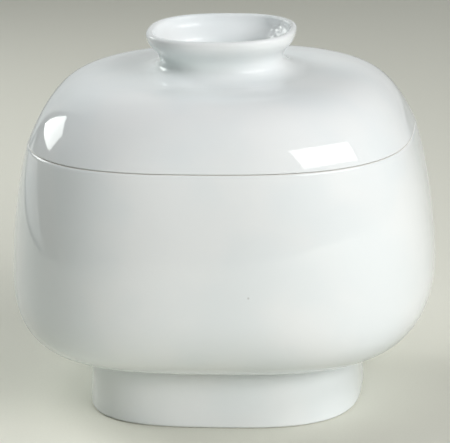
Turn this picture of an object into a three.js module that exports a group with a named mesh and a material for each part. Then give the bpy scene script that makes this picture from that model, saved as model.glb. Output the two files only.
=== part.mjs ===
// Covered casserole dish in white glazed porcelain, a rounded square in plan.
// A full bowl is luted to a hollow foot, and a low domed lid is luted to an open collar,
// which is its grip. The lid rests on the bowl's rim and a flange under it keeps it in place.
// Millimetres, +Z up, standing on z = 0. Widths are measured across the flats.
import * as THREE from "three";

// Foot
const footBottomWidth = 136;
const footTopWidth = 133;
const footHeight = 30;
const footWall = 7;
const footEdgeRadius = 1.8;

// Bowl
const baseLedge = 1.5;
const bodyWidth = 210;
const bellyRise = 35;
const bowlHeight = 104.5;
const rimWidth = 191;
const rimLean = THREE.MathUtils.degToRad(16.5);
const rimThickness = 5.5;
const rimChamfer = 1;
const bowlWall = 5;
const bowlFloor = 6;

// Fullness of the bowl's curve, as the reach of its Bezier handles
const baseFullness = 24.5;
const lowerBellyFullness = 18;
const upperBellyFullness = 21;
const shoulderFullness = 21;

// Lid
const seatGap = 0.3;
const lidInset = 0.6;
const lidChamfer = 1;
const lidLean = THREE.MathUtils.degToRad(24);
const domeRise = 30;
const lidWall = 4.5;
const lidSideFullness = 33;
const lidTopFullness = 38;
const flangePlay = 1.2;
const flangeDepth = 6;
const flangeThickness = 3.5;

// Collar
const collarNeckWidth = 61.5;
const neckFillet = 4.75;
const filletEdge = 0.8;
const collarLipWidth = 74;
const collarHeight = 21;
const neckRise = 6;
const collarWall = 3.4;
const neckShare = 0.6;
const lipShare = 0.45;

// How square each level is: the power of its superellipse, where 2 is a circle
const footSquareness = 3.05;
const bellySquareness = 2.6;
const rimSquareness = 2.75;
const domeSquareness = 2.35;
const collarSquareness = 2.5;

// Facets
const stepsAround = 40;
const stepsAlongCurve = 10;
const stepsAlongCollar = 6;
const stepsAlongFootEdge = 4;

// Levels above the table
const footTop = footHeight;
const bellyLevel = footTop + bellyRise;
const rimLevel = footTop + bowlHeight;
const seatLevel = rimLevel + seatGap;
const domeTop = seatLevel + domeRise;
const neckLevel = domeTop + neckRise;
const collarTop = domeTop + collarHeight;

// Half-widths
const baseReach = footTopWidth / 2 + baseLedge;
const bodyReach = bodyWidth / 2;
const rimReach = rimWidth / 2;
const rimInside = rimReach - rimThickness;
const lidReach = rimReach - lidInset;
const flangeReach = rimInside - flangePlay;
const flangeInside = flangeReach - flangeThickness;
const neckReach = collarNeckWidth / 2;
const collarFootReach = neckReach + neckFillet;
const neckInside = neckReach - collarWall;
const lipRadius = collarWall / 2;
const lipCentre = collarLipWidth / 2 - lipRadius;

// Each band blends from the squareness below it to its own
const squarenessBands = [
  { from: footTop, to: bellyLevel, squareness: bellySquareness },
  { from: bellyLevel, to: rimLevel, squareness: rimSquareness },
  { from: rimLevel, to: domeTop, squareness: domeSquareness },
  { from: domeTop, to: collarTop, squareness: collarSquareness },
];

function squarenessAt(height) {
  let squareness = footSquareness;
  for (const band of squarenessBands) {
    const share = THREE.MathUtils.smoothstep(height, band.from, band.to);
    squareness = THREE.MathUtils.lerp(squareness, band.squareness, share);
  }
  return squareness;
}

// Turns an outline of half-widths and heights, then draws each ring out to its rounded square.
function roundedSquare(outline, stepsAlong) {
  const geometry = new THREE.LatheGeometry(outline.getPoints(stepsAlong), stepsAround);
  geometry.rotateX(Math.PI / 2);
  const position = geometry.getAttribute("position");
  const point = new THREE.Vector3();
  for (let i = 0; i < position.count; i += 1) {
    point.fromBufferAttribute(position, i);
    const power = squarenessAt(point.z);
    const angle = Math.atan2(point.y, point.x);
    const spread = Math.abs(Math.cos(angle)) ** power + Math.abs(Math.sin(angle)) ** power;
    const reach = spread ** (-1 / power);
    position.setXYZ(i, point.x * reach, point.y * reach, point.z);
  }
  geometry.computeVertexNormals();
  return geometry;
}

// The foot is a ring, open below, with an unglazed flat to stand on and a soft outer edge.
function footOutline() {
  const bottomReach = footBottomWidth / 2;
  const topReach = footTopWidth / 2;
  const outline = new THREE.Path();
  outline.moveTo(bottomReach - footWall, 0);
  outline.lineTo(bottomReach - footEdgeRadius, 0);
  outline.absarc(bottomReach - footEdgeRadius, footEdgeRadius, footEdgeRadius, -Math.PI / 2, 0, false);
  outline.lineTo(topReach, footTop);
  outline.lineTo(topReach - footWall, footTop);
  outline.lineTo(bottomReach - footWall, 0);
  return outline;
}

// The bowl stands flat on the foot, swells to its belly and draws in to a flat rim.
function bowlOutline() {
  const innerFloor = footTop + bowlFloor;
  const innerBelly = bodyReach - bowlWall;
  const shoulderX = shoulderFullness * Math.sin(rimLean);
  const shoulderZ = shoulderFullness * Math.cos(rimLean);
  const rimEdge = rimLevel - rimChamfer;
  const outline = new THREE.Path();
  outline.moveTo(0, footTop);
  outline.lineTo(baseReach, footTop);
  outline.bezierCurveTo(
    baseReach + baseFullness, footTop,
    bodyReach, bellyLevel - lowerBellyFullness,
    bodyReach, bellyLevel,
  );
  outline.bezierCurveTo(
    bodyReach, bellyLevel + upperBellyFullness,
    rimReach + shoulderX, rimEdge - shoulderZ,
    rimReach, rimEdge,
  );
  outline.lineTo(rimReach - rimChamfer, rimLevel);
  outline.lineTo(rimInside + rimChamfer, rimLevel);
  outline.lineTo(rimInside, rimEdge);
  outline.bezierCurveTo(
    rimInside + shoulderX, rimEdge - shoulderZ,
    innerBelly, bellyLevel + upperBellyFullness,
    innerBelly, bellyLevel,
  );
  outline.bezierCurveTo(
    innerBelly, bellyLevel - lowerBellyFullness + bowlFloor,
    baseReach + baseFullness - bowlWall, innerFloor,
    baseReach - bowlWall, innerFloor,
  );
  outline.lineTo(0, innerFloor);
  return outline;
}

// The lid's edge sits on the rim, and its flange hangs inside the bowl.
function domeOutline() {
  const edge = seatLevel + lidChamfer;
  const flangeFoot = seatLevel - flangeDepth;
  const ceiling = domeTop - lidWall;
  const sideX = lidSideFullness * Math.sin(lidLean);
  const sideZ = lidSideFullness * Math.cos(lidLean);
  const outline = new THREE.Path();
  outline.moveTo(0, ceiling);
  outline.lineTo(collarFootReach, ceiling);
  outline.bezierCurveTo(
    collarFootReach + lidTopFullness - lidWall, ceiling,
    flangeInside, ceiling,
    flangeInside, seatLevel,
  );
  outline.lineTo(flangeInside, flangeFoot + lidChamfer);
  outline.lineTo(flangeInside + lidChamfer, flangeFoot);
  outline.lineTo(flangeReach - lidChamfer, flangeFoot);
  outline.lineTo(flangeReach, flangeFoot + lidChamfer);
  outline.lineTo(flangeReach, seatLevel);
  outline.lineTo(lidReach - lidChamfer, seatLevel);
  outline.lineTo(lidReach, edge);
  outline.bezierCurveTo(
    lidReach - sideX, edge + sideZ,
    collarFootReach + lidTopFullness, domeTop,
    collarFootReach, domeTop,
  );
  outline.lineTo(0, domeTop);
  return outline;
}

// The collar spreads at its foot, narrows to a neck for the fingers and flares to a round lip.
function collarOutline() {
  const lipLevel = collarTop - lipRadius;
  const lipReach = lipCentre + lipRadius;
  const lipInside = lipCentre - lipRadius;
  const flare = lipLevel - neckLevel;
  const outline = new THREE.Path();
  outline.moveTo(neckInside, domeTop);
  outline.lineTo(collarFootReach, domeTop);
  outline.lineTo(collarFootReach, domeTop + filletEdge);
  outline.quadraticCurveTo(neckReach, domeTop + filletEdge, neckReach, neckLevel);
  const neckHandle = neckLevel + neckShare * flare;
  const lipHandle = lipLevel - lipShare * flare;
  outline.bezierCurveTo(neckReach, neckHandle, lipReach, lipHandle, lipReach, lipLevel);
  outline.absarc(lipCentre, lipLevel, lipRadius, 0, Math.PI, false);
  outline.bezierCurveTo(lipInside, lipHandle, neckInside, neckHandle, neckInside, neckLevel);
  outline.lineTo(neckInside, domeTop);
  return outline;
}

function piece(name, geometry, look) {
  const mesh = new THREE.Mesh(geometry, new THREE.MeshStandardMaterial(look));
  mesh.name = name;
  return mesh;
}

const foot = piece("dish_foot", roundedSquare(footOutline(), stepsAlongFootEdge), {
  color: 0xdfe3e0,
  roughness: 0.16,
  metalness: 0,
});

const bowl = piece("dish_bowl", roundedSquare(bowlOutline(), stepsAlongCurve), {
  color: 0xe6eae8,
  roughness: 0.12,
  metalness: 0,
});

const dome = piece("lid_dome", roundedSquare(domeOutline(), stepsAlongCurve), {
  color: 0xe8ecea,
  roughness: 0.12,
  metalness: 0,
});

const collar = piece("lid_collar", roundedSquare(collarOutline(), stepsAlongCollar), {
  color: 0xe9edeb,
  roughness: 0.14,
  metalness: 0,
});

const dish = new THREE.Group();
dish.add(foot, bowl);

const lid = new THREE.Group();
lid.add(dome, collar);

const casserole = new THREE.Group();
casserole.add(dish, lid);

export default casserole;
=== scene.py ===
"""Looks of the covered casserole dish: white glazed porcelain, a bowl on a foot and a lid with a collar.

Metres, +Z up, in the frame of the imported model. The side that the camera sees faces -Y.
"""
import math

import bpy
from mathutils import Matrix, Vector
from mathutils.geometry import interpolate_bezier


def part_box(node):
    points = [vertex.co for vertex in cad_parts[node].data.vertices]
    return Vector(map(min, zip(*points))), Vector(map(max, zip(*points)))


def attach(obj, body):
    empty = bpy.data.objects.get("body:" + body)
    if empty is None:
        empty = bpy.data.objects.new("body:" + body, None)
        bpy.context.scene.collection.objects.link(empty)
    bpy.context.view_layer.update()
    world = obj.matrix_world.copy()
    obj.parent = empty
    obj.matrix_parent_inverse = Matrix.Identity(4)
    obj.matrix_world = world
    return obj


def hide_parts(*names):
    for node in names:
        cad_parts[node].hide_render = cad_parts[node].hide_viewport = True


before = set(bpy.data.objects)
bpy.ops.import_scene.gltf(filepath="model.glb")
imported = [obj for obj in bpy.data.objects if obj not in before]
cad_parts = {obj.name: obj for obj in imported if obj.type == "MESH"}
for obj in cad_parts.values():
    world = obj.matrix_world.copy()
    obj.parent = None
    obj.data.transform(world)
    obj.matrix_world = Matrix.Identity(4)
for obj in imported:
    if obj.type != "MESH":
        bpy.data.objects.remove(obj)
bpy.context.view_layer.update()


# Bowl
# A full, rounded-square bowl of slip-cast porcelain, dipped in clear white glaze.
# Its flat rim is wiped bare before the glaze firing, so that the lid doesn't stick to it.
mm = 0.001
bowl_low, bowl_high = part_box("dish_bowl")
body_reach = bowl_high[0]
foot_top = bowl_low[2]
rim_level = bowl_high[2]
belly_rise = 35 * mm
belly_level = foot_top + belly_rise
base_reach = 68 * mm
rim_reach = 95.5 * mm
rim_thickness = 5.5 * mm
rim_lean = math.radians(16.5)
rim_turn = math.radians(40)
rim_drop = 1 * mm
rim_curve = 4 * mm
rim_round = 0.5 * mm
rim_inner_round = 1.2 * mm
bowl_wall = 5 * mm
bowl_floor = 6 * mm
base_fullness = 24.5 * mm
lower_belly_fullness = 18 * mm
upper_belly_fullness = 21 * mm
shoulder_fullness = 21 * mm
pole_reach = 3 * mm
ring_points = 96
curve_steps = 26
round_steps = 6

# The plan of each level is a superellipse, whose power blends from one level to the next.
foot_squareness = 3.05
belly_squareness = 2.6
rim_squareness = 2.75
dome_squareness = 2.35
collar_squareness = 2.5
lid_low, lid_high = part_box("lid_dome")
collar_low, collar_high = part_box("lid_collar")
squareness_bands = [
    (foot_top, belly_level, belly_squareness),
    (belly_level, rim_level, rim_squareness),
    (rim_level, collar_low[2], dome_squareness),
    (collar_low[2], collar_high[2], collar_squareness),
]


def squareness_at(height):
    squareness = foot_squareness
    for start, end, target in squareness_bands:
        share = min(max((height - start) / (end - start), 0), 1)
        share = share * share * (3 - 2 * share)
        squareness += (target - squareness) * share
    return squareness


def bezier(*knots, steps=curve_steps):
    start, start_handle, end_handle, end = [Vector((reach, height)) for reach, height in knots]
    return [tuple(point) for point in interpolate_bezier(start, start_handle, end_handle, end, steps)]


def arc(centre, radius, start, end, steps=round_steps):
    angles = [math.radians(start + (end - start) * i / steps) for i in range(steps + 1)]
    return [(centre[0] + radius * math.cos(a), centre[1] + radius * math.sin(a)) for a in angles]


def raise_wall(name, outline, closed_ring=False):
    """Raises a ring of edges along an outline of half-widths and heights, and draws it out square."""
    bpy.ops.object.select_all(action="DESELECT")
    (reach, height), *upper_rings = outline
    fill = "NOTHING" if closed_ring else "TRIFAN"
    bpy.ops.mesh.primitive_circle_add(
        vertices=ring_points, radius=reach, fill_type=fill, enter_editmode=True, location=(0, 0, 0))
    piece = bpy.context.object
    piece.name = name
    bpy.ops.transform.translate(value=(0, 0, height))
    if not closed_ring:
        bpy.ops.mesh.region_to_loop()
    for next_reach, next_height in upper_rings:
        bpy.ops.mesh.extrude_edges_move(TRANSFORM_OT_translate={"value": (0, 0, next_height - height)})
        widen = next_reach / reach
        bpy.ops.transform.resize(value=(widen, widen, 1), center_override=(0, 0, 0))
        reach, height = next_reach, next_height
    if not closed_ring:
        bpy.ops.mesh.extrude_edges_move(TRANSFORM_OT_translate={"value": (0, 0, 0)})
        bpy.ops.mesh.merge(type="CENTER")
    bpy.ops.mesh.select_all(action="SELECT")
    bpy.ops.mesh.remove_doubles(threshold=0.005 * mm)
    bpy.ops.mesh.normals_make_consistent(inside=False)
    bpy.ops.object.mode_set(mode="OBJECT")
    for vertex in piece.data.vertices:
        x, y, z = vertex.co
        angle = math.atan2(y, x)
        power = squareness_at(z)
        draw = (abs(math.cos(angle)) ** power + abs(math.sin(angle)) ** power) ** (-1 / power)
        vertex.co = (x * draw, y * draw, z)
    soften = piece.modifiers.new("soften", "SUBSURF")
    soften.levels = 1
    soften.render_levels = 1
    bpy.ops.object.modifier_apply(modifier=soften.name)
    bpy.ops.object.shade_smooth()
    return piece


def leaning(angle):
    return Vector((math.cos(angle), math.sin(angle)))


lean_out = Vector((math.sin(rim_lean), -math.cos(rim_lean)))
rim_inside = rim_reach - rim_thickness
rim_edge = Vector((rim_reach, rim_level - rim_drop))
rim_edge_inside = Vector((rim_inside, rim_level - rim_inner_round))
shoulder = rim_edge + lean_out * shoulder_fullness
shoulder_inside = rim_edge_inside + lean_out * shoulder_fullness
curve_drop = rim_curve * (math.sin(rim_turn) - math.sin(rim_lean)) + rim_round * (1 - math.sin(rim_turn))
shoulder_reach = rim_reach + (curve_drop - rim_drop) * math.tan(rim_lean)
shoulder_top = Vector((shoulder_reach, rim_level - curve_drop))
curve_centre = shoulder_top - rim_curve * leaning(rim_lean)
round_centre = curve_centre + (rim_curve - rim_round) * leaning(rim_turn)
inner_floor = foot_top + bowl_floor
inner_belly = body_reach - bowl_wall
bowl_outline = [(pole_reach, foot_top)]
bowl_outline += bezier(
    (base_reach, foot_top), (base_reach + base_fullness, foot_top),
    (body_reach, belly_level - lower_belly_fullness), (body_reach, belly_level))
bowl_outline += bezier(
    (body_reach, belly_level), (body_reach, belly_level + upper_belly_fullness),
    shoulder, shoulder_top)[1:]
bowl_outline += arc(curve_centre, rim_curve, math.degrees(rim_lean), math.degrees(rim_turn))[1:]
bowl_outline += arc(round_centre, rim_round, math.degrees(rim_turn), 90)[1:]
bowl_outline += arc((rim_inside + rim_inner_round, rim_edge_inside.y), rim_inner_round, 90, 180)
bowl_outline += bezier(
    rim_edge_inside, shoulder_inside,
    (inner_belly, belly_level + upper_belly_fullness), (inner_belly, belly_level))[1:]
bowl_outline += bezier(
    (inner_belly, belly_level), (inner_belly, belly_level - lower_belly_fullness + bowl_floor),
    (base_reach + base_fullness - bowl_wall, inner_floor), (base_reach - bowl_wall, inner_floor))[1:]
bowl_outline += [(pole_reach, inner_floor)]
bowl = raise_wall("bowl", bowl_outline)


class Tone:
    """A value or colour on its way through a material, on which sums can be written."""

    def __init__(self, tree, socket=None):
        self.tree = tree
        self.socket = socket

    def node(self, kind, settings=None, sockets=None, output=0):
        """Adds a node: its settings are set first, then its sockets, as values or as links."""
        node = self.tree.nodes.new(kind)
        for key, value in (settings or {}).items():
            setattr(node, key, value)
        for key, value in (sockets or {}).items():
            if isinstance(value, Tone):
                self.tree.links.new(value.socket, node.inputs[key])
            else:
                node.inputs[key].default_value = value
        return Tone(self.tree, node.outputs[output])

    def sum(self, operation, first, second):
        return self.node("ShaderNodeMath", {"operation": operation}, {0: first, 1: second})

    def __add__(self, other):
        return self.sum("ADD", self, other)

    __radd__ = __add__

    def __sub__(self, other):
        return self.sum("SUBTRACT", self, other)

    def __rsub__(self, other):
        return self.sum("SUBTRACT", other, self)

    def __mul__(self, other):
        return self.sum("MULTIPLY", self, other)

    __rmul__ = __mul__

    def step(self, low, high):
        """Rises from 0 at low to 1 at high, or falls where low is the larger."""
        return self.node(
            "ShaderNodeMapRange", {"interpolation_type": "SMOOTHSTEP"},
            {"Value": self, "From Min": low, "From Max": high})

    def blend(self, first, second):
        """Mixes two colours by this value."""
        return self.node(
            "ShaderNodeMix", {"data_type": "RGBA"}, {"Factor": self, 6: first, 7: second}, output=2)


def tint(red, green, blue):
    """Gives a shader colour for a colour as it is seen on a screen, 0 to 255."""
    seen = [value / 255 for value in (red, green, blue)]
    return [v / 12.92 if v <= 0.04045 else ((v + 0.055) / 1.055) ** 2.4 for v in seen] + [1]


glaze_white = tint(229, 233, 233)
glaze_cool = tint(224, 230, 231)
bare_white = tint(222, 222, 219)
# Painted greenish shade, for the shaded left side of the collar's neck
painted_shade_green = tint(226, 235, 233)
pit_grey = tint(120, 118, 112)


def porcelain(name, bare_bands, speck=None, hollow=None):
    """White gloss glaze over porcelain, with the bands of height in bare_bands left unglazed.

    An iron speck shows through at the place given. A green tint on the collar's neck is painted shade:
    it fills the hollow given as the heights of its foot, its middle and its top, outside the well, on the
    shaded left side, and fades out across the given reach towards the lit right. Inside, where the
    collar's own "well" attribute says so, the glaze is less smooth, and it is wiped uneven at the right.
    """
    material = bpy.data.materials.new(name)
    material.use_nodes = True
    tree = material.node_tree
    shader = tree.nodes["Principled BSDF"]
    start = Tone(tree)
    place = start.node("ShaderNodeTexCoord", output="Object")
    height = start.node("ShaderNodeSeparateXYZ", sockets={0: place}, output="Z")

    # Broad drifts where the glaze pooled thicker, and its faint ripple
    drift = start.node("ShaderNodeTexNoise", sockets={"Vector": place, "Scale": 22.0, "Detail": 2.0})
    ripple = start.node("ShaderNodeTexNoise", sockets={"Vector": place, "Scale": 95.0, "Detail": 1.0})
    colour = drift.step(0.35, 0.65).blend(glaze_white, glaze_cool)
    if hollow:
        foot, middle, top, reach = hollow
        across = start.node("ShaderNodeSeparateXYZ", sockets={0: place}, output="X")
        well = start.node("ShaderNodeAttribute", {"attribute_name": "well"}, output="Fac")
        # Painted shade: the neck's hollow is tinted green on the shaded left side, fading out towards the
        # lit right, and not inside the collar
        painted_shade = height.step(foot, middle) * height.step(top, middle) * across.step(reach, -reach)
        colour = (painted_shade * (1 - well)).blend(colour, painted_shade_green)

    # Pinholes, in a few of many small cells
    cells = {"Vector": place, "Scale": 42.0}
    pit_distance = start.node("ShaderNodeTexVoronoi", sockets=cells)
    pit_cell = start.node("ShaderNodeTexVoronoi", sockets=cells, output="Color")
    chosen = start.node("ShaderNodeSeparateColor", sockets={0: pit_cell}).step(0.955, 0.96)
    pit = pit_distance.step(0.022, 0.012) * chosen
    colour = (pit * 0.8).blend(colour, pit_grey)
    if speck:
        from_speck = start.node(
            "ShaderNodeVectorMath", {"operation": "DISTANCE"}, {0: place, 1: speck}, output="Value")
        colour = (from_speck.step(0.8 * mm, 0.2 * mm) * 0.35).blend(colour, pit_grey)

    roughness = 0.03 + drift * 0.03
    relief = ripple * 0.03 - pit * 0.2
    for low, high in bare_bands:
        # Bare, sanded porcelain
        grain = start.node("ShaderNodeTexNoise", sockets={"Vector": place, "Scale": 1800.0, "Detail": 3.0})
        edge = 0.08 * mm
        bare = height.step(low - edge, low + edge) * height.step(high + edge, high - edge)
        colour = bare.blend(colour, bare_white)
        roughness = roughness + bare * (0.45 + grain * 0.2)
        relief = relief * (1 - bare) + grain * bare * 0.02
    if hollow:
        # Uneven glaze inside
        smears = start.node("ShaderNodeTexNoise", sockets={"Vector": place, "Scale": 170.0, "Detail": 2.0})
        wiped = well * across.step(18 * mm, 26 * mm)
        relief = relief + wiped * smears * 1.6
        roughness = roughness + well * 0.14 - wiped * 0.1
    surface = start.node(
        "ShaderNodeBump", sockets={"Strength": 1.0, "Distance": 1 * mm, "Height": relief}, output="Normal")
    shader.inputs["IOR"].default_value = 1.52
    tree.links.new(colour.socket, shader.inputs["Base Color"])
    tree.links.new(roughness.socket, shader.inputs["Roughness"])
    tree.links.new(surface.socket, shader.inputs["Normal"])
    return material


iron_speck = (21.8 * mm, -104 * mm, 77.3 * mm)
bare_rim = [(rim_level - 0.25 * mm, rim_level + 1 * mm)]
bowl.data.materials.append(porcelain("bowl_glaze", bare_rim, speck=iron_speck))
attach(bowl, "dish")
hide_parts("dish_bowl")


# Foot
# A hollow ring, cast by itself and luted to the bowl's flat underside with slip.
# It is glazed with the bowl, and its standing face is wiped and ground bare.
foot_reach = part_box("dish_foot")[1][0]
foot_top_reach = 66.5 * mm
foot_wall = 7 * mm
foot_round = 1.4 * mm
foot_inside = foot_reach - foot_wall
foot_outline = arc((foot_inside + foot_round, foot_round), foot_round, 180, 270)
foot_outline += arc((foot_reach - foot_round, foot_round), foot_round, 270, 360)
side_steps = 8
for i in range(1, side_steps + 1):
    share = i / side_steps
    lift = foot_round + (foot_top - foot_round) * share
    foot_outline.append((foot_reach + (foot_top_reach - foot_reach) * share, lift))
for i in range(side_steps + 1):
    share = 1 - i / side_steps
    lift = foot_round + (foot_top - foot_round) * share
    foot_outline.append((foot_inside + (foot_top_reach - foot_reach) * share, lift))
foot = raise_wall("foot_ring", foot_outline, closed_ring=True)
bare_foot = [(-1 * mm, 0.5 * mm)]
foot.data.materials.append(porcelain("foot_glaze", bare_foot))
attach(foot, "dish")
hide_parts("dish_foot")


# Lid
# A low dome, cast in one with the flange that keeps it from sliding off the rim.
# Its seat on the rim is wiped bare like the rim itself.
seat_gap = 0.2 * mm
seat_level = rim_level + seat_gap
lid_reach = lid_high[0]
dome_top = collar_low[2]
flange_foot = lid_low[2]
lid_lean = math.radians(24)
lid_round = 0.4 * mm
lid_wall = 4.5 * mm
lid_side_fullness = 33 * mm
lid_top_fullness = 38 * mm
flange_play = 1.2 * mm
flange_thickness = 3.5 * mm
flange_reach = rim_inside - flange_play
flange_inside = flange_reach - flange_thickness
flange_round = 1 * mm
collar_foot_reach = 35.5 * mm
lid_edge = Vector((lid_reach, seat_level + lid_round))
lid_side = lid_edge + Vector((-math.sin(lid_lean), math.cos(lid_lean))) * lid_side_fullness
ceiling = dome_top - lid_wall
lid_outline = [(pole_reach, ceiling)]
lid_outline += bezier(
    (collar_foot_reach, ceiling), (collar_foot_reach + lid_top_fullness - lid_wall, ceiling),
    (flange_inside, ceiling), (flange_inside, seat_level))
lid_outline += arc((flange_inside + flange_round, flange_foot + flange_round), flange_round, 180, 270)
lid_outline += arc((flange_reach - flange_round, flange_foot + flange_round), flange_round, 270, 360)
lid_outline += arc((flange_reach + lid_round, seat_level - lid_round), lid_round, 180, 90)
lid_outline += arc((lid_reach - lid_round, seat_level + lid_round), lid_round, 270, 360)
lid_outline += bezier(
    lid_edge, lid_side,
    (collar_foot_reach + lid_top_fullness, dome_top), (collar_foot_reach, dome_top))[1:]
lid_outline += [(pole_reach, dome_top)]
lid = raise_wall("lid", lid_outline)
bare_seat = [(seat_level - 2 * mm, seat_level + 0.1 * mm)]
lid.data.materials.append(porcelain("lid_glaze", bare_seat))
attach(lid, "lid")
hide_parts("lid_dome")


# Collar
# An open, flared collar, cast by itself and luted to the dome, which closes it below.
# It is the lid's grip: a waist for the fingers under a thick round lip.
lip_reach = collar_high[0]
collar_top = collar_high[2]
collar_wall = 3.4 * mm
lip_radius = collar_wall / 2
neck_reach = 30.75 * mm
neck_inside = neck_reach - collar_wall
neck_rise = 6.5 * mm
neck_level = dome_top + neck_rise
lip_level = collar_top - lip_radius
fillet_reach = 44 * mm
fillet_fullness = 8 * mm
neck_fullness = 3.5 * mm
flare_fullness = 0.45 * (lip_level - neck_level)
neck_handle = neck_level + flare_fullness
lip_handle = lip_level - flare_fullness
fillet_steps = 14

# The fillet ends a hair under the dome's skin, and its hem dips on into the dome.
skin = 0.01 * mm
sunk = 0.4 * mm
hem = 1 * mm
collar_outline = [(neck_inside, dome_top - sunk), (fillet_reach + 2 * hem, dome_top - sunk)]
collar_outline += [(fillet_reach + hem, dome_top - sunk / 4)]
collar_outline += bezier(
    (fillet_reach, dome_top - skin), (fillet_reach - fillet_fullness, dome_top - skin),
    (neck_reach, neck_level - neck_fullness), (neck_reach, neck_level), steps=fillet_steps)
collar_outline += bezier(
    (neck_reach, neck_level), (neck_reach, neck_handle),
    (lip_reach, lip_handle), (lip_reach, lip_level), steps=fillet_steps)[1:]
collar_outline += arc((lip_reach - lip_radius, lip_level), lip_radius, 0, 180, steps=2 * round_steps)[1:]
collar_outline += bezier(
    (lip_reach - collar_wall, lip_level), (lip_reach - collar_wall, lip_handle),
    (neck_inside, neck_handle), (neck_inside, neck_level), steps=fillet_steps)[1:]
collar_outline += [(neck_inside, dome_top + hem), (neck_inside, dome_top - sunk)]
collar = raise_wall("collar", collar_outline, closed_ring=True)

# How far each point of the surface faces the collar's inside
well_full = 20 * mm
well = collar.data.attributes.new("well", "FLOAT", "POINT")
for vertex, mark in zip(collar.data.vertices, well.data):
    inward = -vertex.co.xy.dot(vertex.normal.xy)
    mark.value = min(max(inward / well_full, 0), 1)
# Where the painted green shade lies on the collar's neck: its heights, and its reach across from the left
# side
shade_foot = dome_top + 0.5 * mm
shade_reach = 30 * mm
neck_hollow = (shade_foot, neck_level, lip_level, shade_reach)
collar.data.materials.append(porcelain("collar_glaze", [], hollow=neck_hollow))
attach(collar, "lid")
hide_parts("lid_collar")


# Table
# A plain, pale, matt sheet that the dish stands on, wide enough to fill the view. The glaze mirrors
# it as a table that ends at the left with a dark binding, over a light floor.
table_size = 3.8
table_side = -0.64
binding_width = 54 * mm
binding_edge = 6 * mm
paper_shade = tint(221, 222, 211)
paper_pale = tint(223, 224, 213)
binding_black = tint(50, 50, 48)
bpy.ops.object.select_all(action="DESELECT")
bpy.ops.mesh.primitive_plane_add(size=table_size, location=(0, 0, 0))
table = bpy.context.object
table.name = "table"
paper = bpy.data.materials.new("table_paper")
paper.use_nodes = True
paper_shader = paper.node_tree.nodes["Principled BSDF"]
pulp = Tone(paper.node_tree)
sheet = pulp.node("ShaderNodeTexCoord", output="Object")
across = pulp.node("ShaderNodeSeparateXYZ", sockets={0: sheet}, output="X")
tooth = pulp.node("ShaderNodeTexNoise", sockets={"Vector": sheet, "Scale": 900.0, "Detail": 2.0})
paper_colour = tooth.step(0.3, 0.7).blend(paper_shade, paper_pale)
mirrored = 1 - pulp.node("ShaderNodeLightPath", output="Is Camera Ray")
binding_inside = table_side + binding_width
binding = mirrored * across.step(binding_inside + binding_edge, binding_inside)
paper_colour = binding.blend(paper_colour, binding_black)
paper.node_tree.links.new(paper_colour.socket, paper_shader.inputs["Base Color"])
paper_shader.inputs["Roughness"].default_value = 0.9
paper_shader.inputs["Specular IOR Level"].default_value = 0.1
past_side = mirrored * across.step(table_side + 1 * mm, table_side)
paper_surface = Tone(paper.node_tree, paper_shader.outputs[0])
clear = pulp.node("ShaderNodeBsdfTransparent")
sheet_surface = pulp.node("ShaderNodeMixShader", sockets={0: past_side, 1: paper_surface, 2: clear})
paper_output = paper.node_tree.nodes["Material Output"]
paper.node_tree.links.new(sheet_surface.socket, paper_output.inputs["Surface"])
table.data.materials.append(paper)


# Studio light
# A wide softbox at the right front, with soft fills beside it, above and behind at the left. The glaze
# mirrors a pale backdrop, a lamp past its left edge, a light floor beside the table, and a room that
# is light in front and dark elsewhere. The camera sees a plain pale wall.
aim = Vector((0, 0, 0.1))


def towards(azimuth, elevation):
    """Gives the direction from the dish: azimuth from the front towards +X, elevation above the table."""
    around = math.radians(azimuth)
    above = math.radians(elevation)
    level = math.cos(above)
    return Vector((math.sin(around) * level, -math.cos(around) * level, math.sin(above)))


def softbox(name, azimuth, elevation, distance, width, height, watts, tilt=0, colour=(1, 1, 1)):
    lamp = bpy.data.lights.new(name, "AREA")
    lamp.shape = "RECTANGLE"
    lamp.size = width
    lamp.size_y = height
    lamp.energy = watts
    lamp.color = colour
    holder = bpy.data.objects.new(name, lamp)
    bpy.context.scene.collection.objects.link(holder)
    direction = towards(azimuth, elevation)
    turn = direction.to_track_quat("Z", "Y").to_matrix().to_4x4()
    tilted = turn @ Matrix.Rotation(math.radians(tilt), 4, "Z")
    holder.matrix_world = Matrix.Translation(aim + direction * distance) @ tilted
    holder.visible_camera = False
    return holder


rose_white = (1, 0.975, 0.98)
softbox(
    "key_softbox", azimuth=63, elevation=43, distance=1.4, width=1.1, height=0.33, watts=5.5, tilt=-8,
    colour=rose_white)
side_fill = softbox(
    "side_fill", azimuth=46, elevation=21, distance=2.5, width=1.8, height=0.83, watts=42,
    colour=rose_white)
top_fill = softbox("top_fill", azimuth=-86, elevation=63, distance=1.8, width=1.2, height=0.8, watts=6.9)
back_fill = softbox("back_fill", azimuth=-128, elevation=28, distance=1.4, width=0.6, height=0.5, watts=2.5)
back_fill.data.spread = math.radians(100)
for fill in side_fill, top_fill, back_fill:
    fill.visible_glossy = False
room = bpy.data.worlds.new("room")
room.use_nodes = True
sky = Tone(room.node_tree)
direction = sky.node("ShaderNodeTexCoord", output="Generated")


def facing(goal):
    return sky.node(
        "ShaderNodeVectorMath", {"operation": "DOT_PRODUCT"}, {0: direction, 1: goal}, output="Value")


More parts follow.
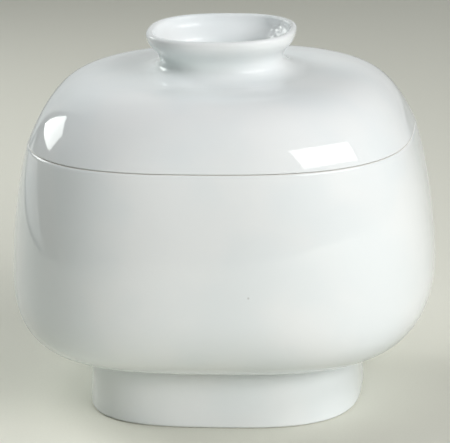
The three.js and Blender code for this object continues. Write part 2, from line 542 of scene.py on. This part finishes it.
wall_glow = 0.5
backdrop_glow = 0.51
backdrop_fade = 0.22
front_glow = 0.31
room_glow = 0.03
lamp_glow = 5
floor_glow = 0.7
backdrop_edge = towards(-141, 9).cross(towards(-130.6, 27)).normalized()
lamp_foot = towards(-140.5, 7.9).cross(towards(-114.5, 17.3)).normalized()
lamp_side = towards(-204.5, 0)
lamp_blur = 0.008
lamp_top = 0.459
floor_edge = towards(-98, -8.2).cross(towards(-121.4, 0.2)).normalized()
up = facing(Vector((0, 0, 1)))
overhead = up.step(0.4, 0.9)
past_edge = facing(backdrop_edge)
backdrop = past_edge.step(0.04, 0.08) * facing(Vector((0, 1, 0))).step(-0.1, 0.4)
lamp = past_edge.step(lamp_blur, 0) * up.step(lamp_top + lamp_blur, lamp_top)
lamp = lamp * facing(lamp_foot).step(0, lamp_blur) * facing(lamp_side).step(0, lamp_blur)
floor = facing(floor_edge).step(0, 0.02) * up.step(0.03, 0) * past_edge.step(0.04, 0)
front = facing(towards(25, 10)).step(0, 1) * up.step(0, 0.3)
backdrop_light = backdrop_glow - backdrop_fade * facing(Vector((1, 0, 0)))
mirrored_room = room_glow + (backdrop_light * backdrop + front_glow * front) * (1 - overhead)
mirrored_room = mirrored_room + lamp_glow * lamp + floor_glow * floor
seen = sky.node("ShaderNodeLightPath", output="Is Camera Ray")
strength = seen * wall_glow + (1 - seen) * mirrored_room
glow = room.node_tree.nodes["Background"]
glow.inputs["Color"].default_value = tint(251, 255, 252)
room.node_tree.links.new(strength.socket, glow.inputs["Strength"])
bpy.context.scene.world = room


# Camera
# A long lens a metre and a half away, a little above the dish and tipped as the photograph is.
photo_width = 450
focal_pixels = 3120
camera_azimuth = 6.46
camera_elevation = 15.15
camera_distance = 1.567
camera_tip = math.radians(1.2)
camera_aim = Vector((-0.00023, 0, 0.0864))
lens = bpy.data.cameras.new("camera")
lens.sensor_width = 36
lens.lens = lens.sensor_width * focal_pixels / photo_width
camera = bpy.data.objects.new("camera", lens)
bpy.context.scene.collection.objects.link(camera)
line_of_sight = towards(camera_azimuth, camera_elevation)
turn = line_of_sight.to_track_quat("Z", "Y").to_matrix().to_4x4()
tip = Matrix.Rotation(-camera_tip, 4, "Z")
camera.matrix_world = Matrix.Translation(camera_aim + line_of_sight * camera_distance) @ turn @ tip
bpy.context.scene.camera = camera
bpy.context.scene.view_settings.view_transform = "Standard"
